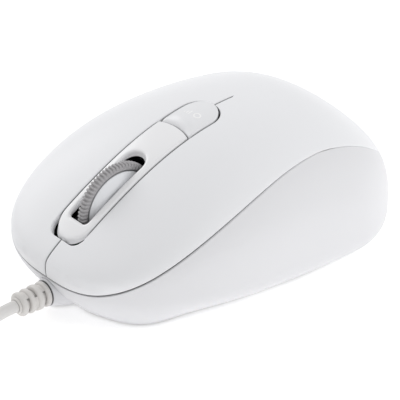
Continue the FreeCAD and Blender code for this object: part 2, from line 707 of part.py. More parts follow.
def cable_coil():
    """The outer shape of the coil: a flat ring with a straight stub at each end."""
    centre, touch = coil_centre()
    outer = COIL_OUTER_TURN + CORD_RADIUS
    inner = outer - 2 * CORD_RADIUS * COIL_TURNS_ACROSS
    tall = 2 * CORD_RADIUS * COIL_LAYERS
    foot = Vector(centre.x, centre.y, 0)
    ring = Part.makeCylinder(outer, tall, foot).cut(Part.makeCylinder(inner, tall, foot))
    entry = rod(CORD_RADIUS, tuple(ROUTE[-1]), tuple(touch))
    start = Vector(centre.x - COIL_OUTER_TURN + STUB_DEPTH, centre.y, PLUG_THICK / 2)
    end = start + Vector(0, STUB, 0)
    leaving = rod(CORD_RADIUS, tuple(start), tuple(end))
    turns = COIL_TURNS_ACROSS * COIL_LAYERS
    mean = COIL_OUTER_TURN - CORD_RADIUS * (COIL_TURNS_ACROSS - 1)
    print("coil centre", centre, "tail end", end, "turn length", round(2 * math.pi * mean * turns))
    return join([ring, entry, leaving]), end


def usb_plug(tail):
    """The plug at the far end: overmould, metal shell, tongue and four contacts."""
    x, y, z = tail
    half_wide, half_thick = PLUG_WIDTH / 2, PLUG_THICK / 2
    grip_y = y + PLUG_RELIEF
    relief = Part.makeCone(2.4, 3.4, PLUG_RELIEF + 0.5, tail, Y_AXIS)
    face_y = grip_y + PLUG_LENGTH
    grip = rounded_box((x - half_wide, grip_y, z - half_thick),
                       (x + half_wide, face_y, z + half_thick), 2.2, Y_AXIS)
    socket_y = face_y - 6.0
    wide, tall = USB_WIDTH / 2, USB_HEIGHT / 2
    seat = box((x - wide, socket_y, z - tall), (x + wide, face_y + 1, z + tall))
    overmould = join([relief, grip]).cut(seat)
    mouth_y = face_y + USB_LENGTH
    shell = rounded_box((x - wide, socket_y, z - tall), (x + wide, mouth_y, z + tall), 0.6, Y_AXIS)
    inner = box((x - wide + USB_SHEET, socket_y, z - tall + USB_SHEET),
                (x + wide - USB_SHEET, mouth_y + 1, z + tall - USB_SHEET))
    windows = [box((x + side * 3 - 1.2, mouth_y - 7.5, z + 1), (x + side * 3 + 1.2, mouth_y - 5.2, FAR))
               for side in (-1, 1)]
    shell = shell.cut([inner] + windows)
    tongue = box((x - wide + USB_SHEET, socket_y, z - tall + USB_SHEET),
                 (x + wide - USB_SHEET, mouth_y - 0.6, z - 0.1))
    contacts = []
    for offset in (-3.5, -1.0, 1.0, 3.5):
        contacts.append(box((x + offset - 0.5, face_y + 2, z - 0.1),
                            (x + offset + 0.5, mouth_y - 1.2, z + 0.1)))
    return {
        "usb_overmould": overmould,
        "usb_shell": shell,
        "usb_tongue": tongue,
        "usb_contacts": Part.makeCompound(contacts),
    }


# ---- the whole mouse ----------------------------------------------------------------------
def build():
    skin = top_skin()
    tube, tube_length = usb_cable()
    coil, tail = cable_coil()
    front_foot, rear_foot = glide_feet()
    print("length left for the coil and its ends", round(CORD_LENGTH - tube_length))
    nodes = {
        "base_shell": base_shell(),
        "top_cover": top_cover(skin),
        "left_button": main_button(skin, 1),
        "right_button": main_button(skin, -1),
        "centre_panel": centre_panel(),
        "dpi_button": dpi_button(),
        "wheel_hub": wheel_hub(),
        "wheel_tyre": wheel_tyre(),
        "encoder_rotor": encoder_rotor(),
        "scroll_encoder": scroll_encoder(),
        "wheel_cradle": wheel_cradle(),
        "wheel_bracket": wheel_bracket(),
        "cradle_spring": cradle_spring(),
        "main_board": main_board(),
        "left_switch": microswitch(CLICK_X),
        "right_switch": microswitch(-CLICK_X),
        "middle_switch": microswitch(MIDDLE_X),
        "left_plunger": plunger(CLICK_X),
        "right_plunger": plunger(-CLICK_X),
        "middle_plunger": plunger(MIDDLE_X),
        "dpi_switch": dpi_switch(),
        "dpi_plunger": dpi_plunger(),
        "sensor_chip": chip((0, SENSOR_Y), (9.0, 11.0, 2.2), 8),
        "controller_chip": chip((-12.5, -3.0), (4.0, 10.0, 1.6), 8),
        "sensor_lens": sensor_lens(),
        "sensor_lamp": sensor_lamp(),
        "lamp_clip": lamp_clip(),
        "capacitors": capacitors(),
        "lead_connector": lead_connector(),
        "front_foot": front_foot,
        "rear_foot": rear_foot,
        "case_screws": case_screws(),
        "board_screws": board_screws(),
        "strain_relief": strain_relief(),
        "inner_lead": inner_lead(),
        "usb_cable": tube,
        "cable_coil": coil,
    }
    nodes.update(usb_plug(tail))
    return nodes


os.makedirs("parts", exist_ok=True)
for name, shape in build().items():
    print(name, "solids", len(shape.Solids), "valid", shape.isValid(), "volume", round(shape.Volume, 2))
    shape.exportStep("parts/" + name + ".step")
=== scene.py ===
"""Wired optical mouse: the shown shells, wheel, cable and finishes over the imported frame.

The body is worked out in millimetres from the same formulas as the CAD part, and every piece
is made in metres. The cable leaves towards -Y, the palm is towards +Y and +Z is up.
"""

import json
import math
import bpy
import bmesh
from mathutils import Matrix, Vector


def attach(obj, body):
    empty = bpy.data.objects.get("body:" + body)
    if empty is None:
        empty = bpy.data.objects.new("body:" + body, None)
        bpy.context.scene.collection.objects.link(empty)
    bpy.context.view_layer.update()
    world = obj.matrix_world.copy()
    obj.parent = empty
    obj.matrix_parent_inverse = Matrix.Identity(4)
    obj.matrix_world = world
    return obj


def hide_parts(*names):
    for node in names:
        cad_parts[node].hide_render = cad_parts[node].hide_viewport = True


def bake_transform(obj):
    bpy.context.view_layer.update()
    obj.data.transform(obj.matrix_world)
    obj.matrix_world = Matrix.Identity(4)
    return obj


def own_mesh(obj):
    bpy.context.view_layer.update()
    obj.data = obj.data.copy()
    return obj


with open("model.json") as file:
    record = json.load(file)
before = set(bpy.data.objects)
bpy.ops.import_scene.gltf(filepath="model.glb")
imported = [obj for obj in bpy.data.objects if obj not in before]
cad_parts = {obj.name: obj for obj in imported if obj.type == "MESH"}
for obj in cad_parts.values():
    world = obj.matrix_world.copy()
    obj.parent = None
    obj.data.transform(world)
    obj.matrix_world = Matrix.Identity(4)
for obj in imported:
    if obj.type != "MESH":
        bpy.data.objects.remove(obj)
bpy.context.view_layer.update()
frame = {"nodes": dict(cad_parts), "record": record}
SLOTS = {m["slot"]: m for m in frame["record"]["materials"]}
SLOT_OF = {s["node"]: s["material_slot"] for s in frame["record"]["subparts"]}
MM = 0.001

# ---- body shape, in millimetres, as in the CAD part ----------------------------------------
HALF_LENGTH = 52.0
HALF_WIDTH = 35.0
WIDEST_Y = 22.3
FRONT_POWER = 2.75
TAIL_POWER = 2.0
TAPER = -0.07
RIM_FRONT_Z = 11.9
RIM_TAIL_Z = 3.6
SIDE_FLARE = 0.76
CORNER = (-42.0, 9.0, 0.4)
FRONT_FLARE = 0.42
TAIL_FLARE = 0.31
DOME = 0.48
RIM_POWER = 14.0
RIM_ROOT = 3.8
CROWN = (0.5, 39.4, 19.2, 2.25, 12.2, 2.18)
SEAM = (11.4, 30.8, 22.0, 1.88, 22.0, 2.34)
BASE_Z = 0.5
WHEEL_Y = -28.9
WHEEL_Z = 21.2

# ---- shells --------------------------------------------------------------------------------
WALL = 1.7
HINGE_Y = 16.0
SEAM_GAP = 0.08
TRAVEL_GAP = 0.2
SPLIT_GAP = 0.2
SLIT_END_Y = 9.7         # the groove between the buttons fades out here
SHIFT_REACH = 20.0       # how far from x = 0 the lines are still moved off that groove
EDGE = 0.25              # radius of the shells' edges
# half width, front y, rear y, their corner radii, and how far each end bows towards the palm
OPENING = (6.0, -46.8, 3.3, 3.0, 5.7, 0.0, 0.0)
PANEL = (5.65, -46.3, -10.35, 5.5, 0.5, 0.0, 0.9)
SLOT = (3.35, -41.8, -20.6, 1.2, 3.25, 0.0, 0.0)
KEY = (5.5, -10.0, 2.85, 0.5, 5.3, 0.9, 0.0)

# ---- camera --------------------------------------------------------------------------------
CAMERA_AT = Vector((0.49666, -0.43536, 0.41804))
CAMERA_RIGHT = Vector((0.65338, 0.75696, 0.01044))
CAMERA_UP = Vector((-0.40277, 0.33592, 0.85143))
CAMERA_BACK = Vector((0.64099, -0.56051, 0.52437))
CAMERA_LENS = 270.0
SENSOR_WIDTH = 36.0

# ---- light ---------------------------------------------------------------------------------
# name, place, width and power
LIGHTS = (("left", (-0.9, -0.1, 0.5), 0.6, 3.7),
          ("back", (0.5, 0.9, 0.6), 0.5, 2.6),
          ("high", (0.6, 0.2, 0.9), 0.5, 1.9))
LIGHTS_AIM = Vector((0, 0, 0.02))
WORLD_STRENGTH = 0.56
FLOOR_GLOW = 0.40
FLOOR_SIZE = 8.0
FLOOR_COLOR = (0.9, 0.9, 0.9)

# ---- cable, in millimetres -------------------------------------------------------------------
CORD_RADIUS = 1.6
EXIT_Z = 4.6
RELIEF_TIP_Y = -61.5
# where each ring of the strain relief starts, its length and its radius
RELIEF_RINGS = ((-52.1, 1.5, 3.4), (-54.4, 1.8, 3.4), (-57.0, 1.5, 3.3), (-59.3, 1.5, 3.2))
ROUTE = (
    (0.0, RELIEF_TIP_Y, EXIT_Z),
    (0.0, -67.0, EXIT_Z),
    (0.9, -72.9, 3.6),
    (3.0, -78.6, 2.4),
    (5.9, -83.8, 1.7),
    (8.65, -88.56, 1.7),
)
COIL_TURNS_ACROSS = 6
COIL_OUTER_TURN = 25.6   # radius of the outer turn's middle
STUB = 16.0              # straight run into the coil and out of it
STUB_DEPTH = 0.5
COIL_STEPS = 16          # points in one turn
PLUG_AXIS_Z = 4.0


# ---- formulas ------------------------------------------------------------------------------
def arch(y, line):
    peak_y, peak_z, front_drop, front_power, tail_drop, tail_power = line
    if y < peak_y:
        return peak_z - front_drop * ((peak_y - y) / (peak_y + HALF_LENGTH)) ** front_power
    return peak_z - tail_drop * ((y - peak_y) / (HALF_LENGTH - peak_y)) ** tail_power


def rim_height(y):
    return RIM_FRONT_Z + (RIM_TAIL_Z - RIM_FRONT_Z) * (y + HALF_LENGTH) / (2 * HALF_LENGTH)


def plan(front, inset=0.0):
    if front:
        return FRONT_POWER, WIDEST_Y + HALF_LENGTH - inset
    return TAIL_POWER, HALF_LENGTH - WIDEST_Y - inset


def half_width(y, inset=0.0):
    return (HALF_WIDTH - inset) * (1 + TAPER * (y - WIDEST_Y) / HALF_LENGTH)


def pull_in(y):
    """How much of the flares applies at y; less at the front corners."""
    middle, spread, share = CORNER
    return 1 - share * math.exp(-((y - middle) / spread) ** 2)


def rim_point(angle):
    across, along = math.cos(angle), math.sin(angle)
    power, reach = plan(along < 0)
    y = WIDEST_Y + math.copysign(reach * abs(along) ** (2 / power), along)
    return math.copysign(half_width(y) * abs(across) ** (2 / power), across), y


def skin_height(x, y, inset=0.0):
    power, reach = plan(y < WIDEST_Y, inset)
    wide = abs(x) / half_width(y, inset)
    far = abs(y - WIDEST_Y) / reach
    level = min(max((wide ** power + far ** power) ** (1 / power), 1e-6), 1.0)
    rim = rim_height(WIDEST_Y + (y - WIDEST_Y) / level)
    fall = (1 - DOME * level ** 2) * (1 - level ** RIM_POWER) ** (1 / RIM_ROOT)
    return rim + (arch(y, CROWN) - inset - rim) * fall


def skin_point(angle, way, shift=0.0):
    """A point of the outer surface: way runs 0 to 1 from over the wheel to the rim, then to 2 at
    the foot. shift moves the lines that start beside x = 0 sideways, off the groove there."""
    rim_x, rim_y = rim_point(angle)
    level = min(way, 1.0)
    x = level * rim_x
    y = WIDEST_Y + level * (rim_y - WIDEST_Y) + (WHEEL_Y - WIDEST_Y) * (1 - level) ** 1.3
    x += shift * max(0.0, 1 - abs(x) / SHIFT_REACH)
    if way < 1.0:
        return Vector((x, y, skin_height(x, y)))
    down = way - 1
    rim = rim_height(rim_y)
    flare = (FRONT_FLARE if rim_y < WIDEST_Y else TAIL_FLARE) * pull_in(rim_y)
    x *= 1 - SIDE_FLARE * pull_in(rim_y) * rim * down ** 2 / HALF_WIDTH
    y = WIDEST_Y + (rim_y - WIDEST_Y) * (1 - flare * rim * down ** 2 / HALF_LENGTH)
    return Vector((x, y, rim - down * (rim - BASE_Z)))


def skin_normal(angle, way, shift=0.0):
    step = 0.002
    along = skin_point(angle, min(way + step, 2.0), shift) - skin_point(angle, way - step, shift)
    round_ = skin_point(angle + step, way, shift) - skin_point(angle - step, way, shift)
    return along.cross(round_).normalized()


def top_normal(x, y, inset=0.0):
    step = 0.02
    slope_x = (skin_height(x + step, y, inset) - skin_height(x - step, y, inset)) / (2 * step)
    slope_y = (skin_height(x, y + step, inset) - skin_height(x, y - step, inset)) / (2 * step)
    return Vector((-slope_x, -slope_y, 1)).normalized()


def crossing(test, low, high):
    """Where test, which is true at low and false at high, changes."""
    for _ in range(34):
        middle = (low + high) / 2
        if test(middle):
            low = middle
        else:
            high = middle
    return low


def half_gap(y):
    share = min(max((HINGE_Y - y) / (HINGE_Y + HALF_LENGTH), 0.0), 1.0)
    return SEAM_GAP + TRAVEL_GAP * share


def inside_strip(x, y, strip, grow=0.0):
    """Whether x, y lies in a bar across x = 0 with rounded ends, grown by some width."""
    half, front_y, rear_y, front_radius, rear_radius, front_bow, rear_bow = strip
    curve = 1 - (x / half) ** 2
    half += grow
    front_y += front_bow * curve - grow
    rear_y += rear_bow * curve + grow
    if abs(x) > half or not front_y < y < rear_y:
        return False
    for end_y, radius, side in ((front_y, front_radius + grow, 1), (rear_y, rear_radius + grow, -1)):
        over_y = side * (end_y - y) + radius
        over_x = abs(x) - half + radius
        if over_y > 0 and over_x > 0 and math.hypot(over_x, over_y) > radius:
            return False
    return True


def smooth(value, low, high):
    share = min(max((value - low) / (high - low), 0.0), 1.0)
    return share * share * (3 - 2 * share)


# Rounding of an edge: share of the radius in from the edge, and share of it down from the skin.
ROUND = [(1 - math.sin(math.radians(a)), 1 - math.cos(math.radians(a))) for a in (90, 60, 30, 0)]


# ---- mesh making ---------------------------------------------------------------------------
def piece(name, vertices, faces, body, slot, material, sharp=38.0):
    """A smooth mesh from points in millimetres."""
    mesh = bpy.data.meshes.new(name)
    mesh.from_pydata([v * MM for v in vertices], [], faces)
    work = bmesh.new()
    work.from_mesh(mesh)
    bmesh.ops.remove_doubles(work, verts=work.verts, dist=0.002 * MM)
    bmesh.ops.recalc_face_normals(work, faces=work.faces)
    work.to_mesh(mesh)
    work.free()
    for polygon in mesh.polygons:
        polygon.use_smooth = True
    mesh.set_sharp_from_angle(angle=math.radians(sharp))
    made = bpy.data.objects.new(name, mesh)
    bpy.context.scene.collection.objects.link(made)
    made.data.materials.append(material)
    if body:
        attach(made, body)
    return made


def loft(loops, closed):
    """Faces over equal closed loops of points; the ends are capped loop side to loop side."""
    count = len(loops[0])
    vertices = [point for loop in loops for point in loop]
    faces = []
    pairs = len(loops) if closed else len(loops) - 1
    for i in range(pairs):
        here, there = i * count, ((i + 1) % len(loops)) * count
        for j in range(count):
            k = (j + 1) % count
            faces.append((here + j, here + k, there + k, there + j))
    if not closed:
        for base in (0, (len(loops) - 1) * count):
            for j in range(count // 2 - 1):
                faces.append((base + j, base + j + 1, base + count - 2 - j, base + count - 1 - j))
    return vertices, faces


def lathe(name, profile, axis_at, axis, body, slot, material, steps=64, sharp=35.0):
    """A solid of revolution from (distance along the axis, radius) pairs."""
    axis = Vector(axis).normalized()
    side = axis.orthogonal().normalized()
    other = axis.cross(side)
    vertices, faces = [], []
    for along, radius in profile:
        for i in range(steps):
            turn = 2 * math.pi * i / steps
            spoke = side * math.cos(turn) + other * math.sin(turn)
            vertices.append(Vector(axis_at) + axis * along + spoke * radius)
    for row in range(len(profile) - 1):
        for i in range(steps):
            k = (i + 1) % steps
            a, b = row * steps, (row + 1) * steps
            faces.append((a + i, a + k, b + k, b + i))
    faces.append(tuple(range(steps)))
    last = (len(profile) - 1) * steps
    faces.append(tuple(range(last, last + steps)))
    return piece(name, vertices, faces, body, slot, material, sharp)


def join(parts, name):
    bpy.ops.object.select_all(action="DESELECT")
    for part in parts:
        part.select_set(True)
    bpy.context.view_layer.objects.active = parts[0]
    bpy.ops.object.join()
    parts[0].name = name
    return parts[0]


# ---- materials -----------------------------------------------------------------------------
TINT_SCALE = 45.0        # patches of colour in a metre
TINT_DETAIL = 3.0
FINE_DETAIL = 2.0
GLOSS_SPREAD = 0.12      # share that the roughness varies by
BUMP_STRENGTH = 0.6
# painted shade in narrow gaps: an ambient occlusion factor darkens the base colour there
PAINTED_SHADE_RAYS = 8
PAINTED_SHADE_OPEN = (0.1, 0.75)   # how open a point is where the painted shade is darkest and where there is none
PAINTED_SHADE_LEFT = (0.08, 1.0)  # and the share of the colour that the painted shade leaves at each


def noise(nodes, links, place, scale, detail):
    made = nodes.new("ShaderNodeTexNoise")
    made.inputs["Scale"].default_value = scale
    made.inputs["Detail"].default_value = detail
    links.new(place.outputs["Object"], made.inputs["Vector"])
    return made.outputs["Fac"]


def mapped(nodes, links, value, span, source=(0.0, 1.0)):
    """The value, carried from the source span to span."""
    made = nodes.new("ShaderNodeMapRange")
    made.inputs["From Min"].default_value = source[0]
    made.inputs["From Max"].default_value = source[1]
    made.inputs["To Min"].default_value = span[0]
    made.inputs["To Max"].default_value = span[1]
    links.new(value, made.inputs["Value"])
    return made.outputs["Result"]


def painted_gap_shade(nodes, links, tone_and_shade, crevice):
    """The colour factor with painted shade: less of it in gaps narrower than the given width, in
    millimetres, by an ambient occlusion factor.
    """
    gap_occlusion = nodes.new("ShaderNodeAmbientOcclusion")
    gap_occlusion.samples = PAINTED_SHADE_RAYS
    gap_occlusion.inputs["Distance"].default_value = crevice * MM
    depth = mapped(nodes, links, gap_occlusion.outputs["AO"], PAINTED_SHADE_LEFT, PAINTED_SHADE_OPEN)
    both = nodes.new("ShaderNodeMath")
    both.operation = "MULTIPLY"
    links.new(tone_and_shade, both.inputs[0])
    links.new(depth, both.inputs[1])
    return both.outputs["Value"]


def material(name, color, roughness, grain=0.0, grain_size=0.3, spread=0.02, crevice=0.0, shade=1.0,
             **inputs):
    """A procedural finish: colour that varies a little, and a fine moulded texture.

    grain is the height of the texture in millimetres and grain_size its width. The gap width,
    in millimetres, sets the gaps in which the colour is darkened as painted shade, and shade scales the
    colour."""
    made = bpy.data.materials.new(name)
    made.use_nodes = True
    nodes, links = made.node_tree.nodes, made.node_tree.links
    shader = nodes["Principled BSDF"]
    place = nodes.new("ShaderNodeTexCoord")
    cloud = noise(nodes, links, place, TINT_SCALE, TINT_DETAIL)
    tone_and_shade = mapped(nodes, links, cloud, (1 - spread, 1 + spread))
    if crevice:
        # painted shade: the colour is darkened in narrow gaps
        tone_and_shade = painted_gap_shade(nodes, links, tone_and_shade, crevice)
    mixed = nodes.new("ShaderNodeVectorMath")
    mixed.operation = "SCALE"
    mixed.inputs[0].default_value = [channel * shade for channel in color[:3]]
    links.new(tone_and_shade, mixed.inputs["Scale"])
    links.new(mixed.outputs["Vector"], shader.inputs["Base Color"])
    fine = noise(nodes, links, place, 1 / (grain_size * MM), FINE_DETAIL)
    roughest = min(roughness * (1 + GLOSS_SPREAD), 1.0)
    gloss = mapped(nodes, links, fine, (roughness * (1 - GLOSS_SPREAD), roughest))
    links.new(gloss, shader.inputs["Roughness"])
    if grain:
        bump = nodes.new("ShaderNodeBump")
        bump.inputs["Strength"].default_value = BUMP_STRENGTH
        bump.inputs["Distance"].default_value = grain * MM
        links.new(fine, bump.inputs["Height"])
        links.new(bump.outputs["Normal"], shader.inputs["Normal"])
    for key, value in inputs.items():
        shader.inputs[key.replace("_", " ")].default_value = value
    return made


def record_color(slot):
    return SLOTS[slot]["base_color"]


# a gap width, in millimetres, darkens the colour in narrower gaps as painted shade
FINISH = {
    "shell_white": dict(roughness=0.42, grain=0.006, grain_size=0.25, spread=0.006, crevice=0.9,
                        shade=1.02, Specular_IOR_Level=0.2),
    "base_white": dict(roughness=0.46, grain=0.006, grain_size=0.25, spread=0.006, crevice=0.9,
                       shade=0.98, Specular_IOR_Level=0.2),
    "panel_white": dict(roughness=0.30, grain=0.002, grain_size=0.4, spread=0.004, crevice=0.9),
    "wheel_white": dict(roughness=0.34, grain=0.002, grain_size=0.4, spread=0.01, crevice=0.9,
                        shade=1.18),
    "tyre_grey": dict(roughness=0.62, grain=0.01, grain_size=0.12, spread=0.04, crevice=0.8),
    "relief_white": dict(roughness=0.50, grain=0.01, grain_size=0.2, spread=0.015, crevice=0.9),
    "cable_white": dict(roughness=0.48, grain=0.01, grain_size=0.2, spread=0.015),
    "foot_grey": dict(roughness=0.28, grain=0.004, grain_size=0.5, spread=0.05),
    "frame_black": dict(roughness=0.45, grain=0.01, grain_size=0.2, spread=0.08),
    "board_green": dict(roughness=0.32, grain=0.012, grain_size=0.8, spread=0.15),
    "switch_black": dict(roughness=0.38, grain=0.006, grain_size=0.2, spread=0.08),
    "plunger_white": dict(roughness=0.35, grain=0.004, grain_size=0.2, spread=0.02),
    "chip_black": dict(roughness=0.55, grain=0.01, grain_size=0.1, spread=0.08),
    "lens_clear": dict(roughness=0.06, Transmission_Weight=0.9, IOR=1.49, spread=0.01),
    "lamp_red": dict(roughness=0.10, Transmission_Weight=0.7, IOR=1.5, spread=0.03),
    "can_black": dict(roughness=0.30, grain=0.004, grain_size=0.6, spread=0.08, Metallic=0.3),
    "connector_cream": dict(roughness=0.42, grain=0.006, grain_size=0.2, spread=0.02),
    "screw_steel": dict(roughness=0.28, grain=0.006, grain_size=0.15, spread=0.08, Metallic=1.0),
    "usb_steel": dict(roughness=0.20, grain=0.003, grain_size=0.5, spread=0.04, Metallic=1.0),
    "contact_gold": dict(roughness=0.22, grain=0.003, grain_size=0.2, spread=0.05, Metallic=1.0),
}
FINISHES = {name: material(name, record_color(name), **look) for name, look in FINISH.items()}


def finish_cad_nodes():
    for name, node in frame["nodes"].items():
        node.data.materials.clear()
        node.data.materials.append(FINISHES[SLOT_OF[name]])


# ---- stage ---------------------------------------------------------------------------------
def make_camera():
    camera = bpy.data.objects.new("camera", bpy.data.cameras.new("camera"))
    bpy.context.scene.collection.objects.link(camera)
    turn = Matrix((CAMERA_RIGHT, CAMERA_UP, CAMERA_BACK)).transposed()
    camera.matrix_world = Matrix.Translation(CAMERA_AT) @ turn.to_4x4()
    camera.data.lens = CAMERA_LENS
    camera.data.sensor_width = SENSOR_WIDTH
    camera.data.clip_start = 0.01
    camera.data.clip_end = 20.0
    bpy.context.scene.camera = camera


def make_light(name, at, size, watts):
    light = bpy.data.lights.new(name, "AREA")
    light.shape = "DISK"
    light.size = size
    light.energy = watts
    holder = bpy.data.objects.new(name, light)
    holder.location = at
    holder.rotation_euler = (LIGHTS_AIM - Vector(at)).to_track_quat("-Z", "Y").to_euler()
    bpy.context.scene.collection.objects.link(holder)


def make_stage():
    scene = bpy.context.scene
    scene.view_settings.view_transform = "Standard"
    world = bpy.data.worlds.new("studio")
    world.use_nodes = True
    sky = world.node_tree.nodes["Background"]
    sky.inputs["Color"].default_value = (1, 1, 1, 1)
    sky.inputs["Strength"].default_value = WORLD_STRENGTH
    scene.world = world
    for light in LIGHTS:
        make_light(*light)
    bpy.ops.mesh.primitive_plane_add(size=FLOOR_SIZE, location=(0, 0, 0))
    floor = bpy.context.object
    floor.name = "floor"
    paint = material("floor_white", FLOOR_COLOR, 0.8, spread=0.0)
    shader = paint.node_tree.nodes["Principled BSDF"]
    shader.inputs["Emission Color"].default_value = (1, 1, 1, 1)
    shader.inputs["Emission Strength"].default_value = FLOOR_GLOW
    floor.data.materials.append(paint)


# ---- cable ---------------------------------------------------------------------------------
def coil_inward():
    """The level direction from the cord's end towards the coil's middle."""
    ahead = (Vector(ROUTE[-1]) - Vector(ROUTE[-2])).normalized()
    return Vector((ahead.y, -ahead.x, 0))


def coil_centre():
    end = Vector(ROUTE[-1])
    ahead = (end - Vector(ROUTE[-2])).normalized()
    return end + ahead * STUB + coil_inward() * (COIL_OUTER_TURN - STUB_DEPTH)


def coil_points():
    """Control points of the coil: in along the lower layer, out along the upper one."""
    centre = coil_centre()
    inward = coil_inward()
    first = math.atan2(-inward.y, -inward.x)
    turns = 2 * COIL_TURNS_ACROSS + (first + math.pi) / (2 * math.pi)
    steps = round(turns * COIL_STEPS)
    swell = 2 / (1 + math.cos(math.pi / COIL_STEPS))
    pitch = 2 * CORD_RADIUS
    inmost = COIL_OUTER_TURN - pitch * (COIL_TURNS_ACROSS - 1)
    points = []
    for i in range(1, steps + 1):
        turn = turns * i / steps
        if turn < COIL_TURNS_ACROSS:
            radius = COIL_OUTER_TURN - (COIL_OUTER_TURN - inmost) * turn / COIL_TURNS_ACROSS
        else:
            share = (turn - COIL_TURNS_ACROSS) / (turns - COIL_TURNS_ACROSS)
            radius = inmost + (COIL_OUTER_TURN - inmost) * share
        z = CORD_RADIUS + pitch * smooth(turn, COIL_TURNS_ACROSS - 0.5, COIL_TURNS_ACROSS + 0.5)
        angle = first - 2 * math.pi * turn
        points.append(Vector((centre.x + swell * radius * math.cos(angle),
                              centre.y + swell * radius * math.sin(angle), z)))
    tail_x = centre.x - COIL_OUTER_TURN + STUB_DEPTH
    points.append(Vector((tail_x, centre.y + STUB * 0.5, PLUG_AXIS_Z + 0.4)))
    points.append(Vector((tail_x, centre.y + STUB + 1.0, PLUG_AXIS_Z)))
    return points


def make_cable():
    points = [Vector(p) for p in ROUTE] + coil_points()
    curve = bpy.data.curves.new("cable", "CURVE")
    curve.dimensions = "3D"
    curve.bevel_depth = CORD_RADIUS * MM
    curve.bevel_resolution = 5
    curve.resolution_u = 5
    curve.use_fill_caps = True
    spline = curve.splines.new("NURBS")
    spline.points.add(len(points) - 1)
    for target, point in zip(spline.points, points):
        target.co = (*(point * MM), 1.0)
    spline.order_u = 3
    spline.use_endpoint_u = True
    cable = bpy.data.objects.new("cable", curve)
    bpy.context.scene.collection.objects.link(cable)
    curve.materials.append(FINISHES["cable_white"])
    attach(cable, "mouse")
    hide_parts("usb_cable", "cable_coil")
    return cable


def make_tie():
    """A strap round the coil's turns, on the side away from the mouse."""
    width, thick, corner = 3.0, 0.5, 1.2
    centre = coil_centre()
    near = COIL_OUTER_TURN - 2 * CORD_RADIUS * (COIL_TURNS_ACROSS - 1) - CORD_RADIUS - thick
    far = COIL_OUTER_TURN + CORD_RADIUS + thick
    low, high = 0.0, 4 * CORD_RADIUS + thick
    loops = []
    for mid_r, mid_z, start in ((far - corner, high - corner, 0), (near + corner, high - corner, 90),
                                (near + corner, low + corner, 180), (far - corner, low + corner, 270)):
        for step in range(5):
            angle = math.radians(start + 22.5 * step)
            loop = []
            for x, depth in ((-width / 2, 0), (width / 2, 0), (width / 2, thick), (-width / 2, thick)):
                out = mid_r + (corner - depth) * math.cos(angle)
                up = mid_z + (corner - depth) * math.sin(angle)
                loop.append(Vector((centre.x + x, centre.y - out, up)))
            loops.append(loop)
    return piece("coil_tie", *loft(loops, True), "mouse", "relief_white", FINISHES["relief_white"])


def make_relief():
    """The sleeve: a core with four rings, tied by bridges top and bottom or side to side."""
    # distance from the sleeve's inner end and radius
    core = [(0, 0), (0, 3.5), (1.2, 3.5), (1.2, 2.4), (7.6, 2.4), (16.3, 2.1), (16.5, 1.9), (16.5, 0)]
    start_y = -44.95         # inside the casing's saddle
    parts = [lathe("relief_core", core, (0, start_y, EXIT_Z), (0, -1, 0), "mouse", "relief_white",
                   FINISHES["relief_white"])]
    for i, (start, width, radius) in enumerate(RELIEF_RINGS):
        shoulder = [(0, radius - 0.7), (0.1, radius - 0.35), (0.3, radius - 0.1), (0.6, radius)]
        ring = [(0, 0)] + shoulder + [(width - a, r) for a, r in reversed(shoulder)] + [(width, 0)]
        at = (0, start, EXIT_Z)
        parts.append(lathe("relief_ring_%d" % (i + 1), ring, at, (0, -1, 0), "mouse", "relief_white",
                           FINISHES["relief_white"]))
        if i == len(RELIEF_RINGS) - 1:
            break
        gap = start - width - RELIEF_RINGS[i + 1][0]
        for side in (-1, 1):
            middle = math.pi / 2 * (1 if i % 2 == 0 else 0) + (0 if side > 0 else math.pi)
            parts.append(make_bridge(i, side, middle, radius - 0.6, start - width + 0.2, gap + 0.4))
    relief = join(parts, "relief")
    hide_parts("strain_relief")
    return relief


BRIDGE_SWEEP = [-40, -30, -15, 0, 15, 30, 40]
BRIDGE_ROOT = 2.0


def make_bridge(index, side, middle, radius, start_y, length):
    """A web from one ring to the next, about the angle called middle."""
    loops = []
    for y in (start_y, start_y - length):
        loop = []
        for r, sweep in ((radius, BRIDGE_SWEEP), (BRIDGE_ROOT, BRIDGE_SWEEP[::-1])):
            for degrees in sweep:
                angle = middle + math.radians(degrees)
                loop.append(Vector((r * math.cos(angle), y, EXIT_Z + r * math.sin(angle))))
        loops.append(loop)
    vertices, faces = loft(loops, False)
    return piece("bridge_%d_%d" % (index, side), vertices, faces, "mouse", "relief_white",
                 FINISHES["relief_white"])


# ---- shells --------------------------------------------------------------------------------
CUT_Y = 20.0             # where the shown buttons run into the shown palm cover
SIDE_COLUMNS = 150
BUTTON_ROWS = 46
PALM_ROWS = 40


def rim_angles(count):
    """Angles from front to tail down the +X side whose points on the rim are evenly spaced."""
    fine = [-math.pi / 2 + math.pi * i / 2000 for i in range(2001)]
    runs = [0.0]
    spots = [Vector(rim_point(a)) for a in fine]
    for start, end in zip(spots, spots[1:]):
        runs.append(runs[-1] + (end - start).length)
    angles = []
    k = 0
    for i in range(1, count + 1):
        goal = runs[-1] * i / (count + 1)
        while runs[k + 1] < goal:
            k += 1
        angles.append(fine[k] + (fine[k + 1] - fine[k]) * (goal - runs[k]) / (runs[k + 1] - runs[k]))
    return angles


def slit(y):
    return 1 - smooth(y, SLIT_END_Y - 0.6, SLIT_END_Y + 0.3)


def column_point(column, way):
    """A point on a column, which is (angle, index of the rounding row beside x = 0 or None)."""
    angle, step = column
    if step is None:
        shift = SPLIT_GAP + EDGE
        return skin_point(angle, way, shift * max(0.0, min(1.0, abs(math.cos(angle)) * 40))), 0.0
    base = skin_point(angle, way)
    open_ = slit(base.y)
    inward, down = ROUND[step]
    shift = SPLIT_GAP * open_ + EDGE * inward
    return skin_point(angle, way, shift), EDGE * down * open_


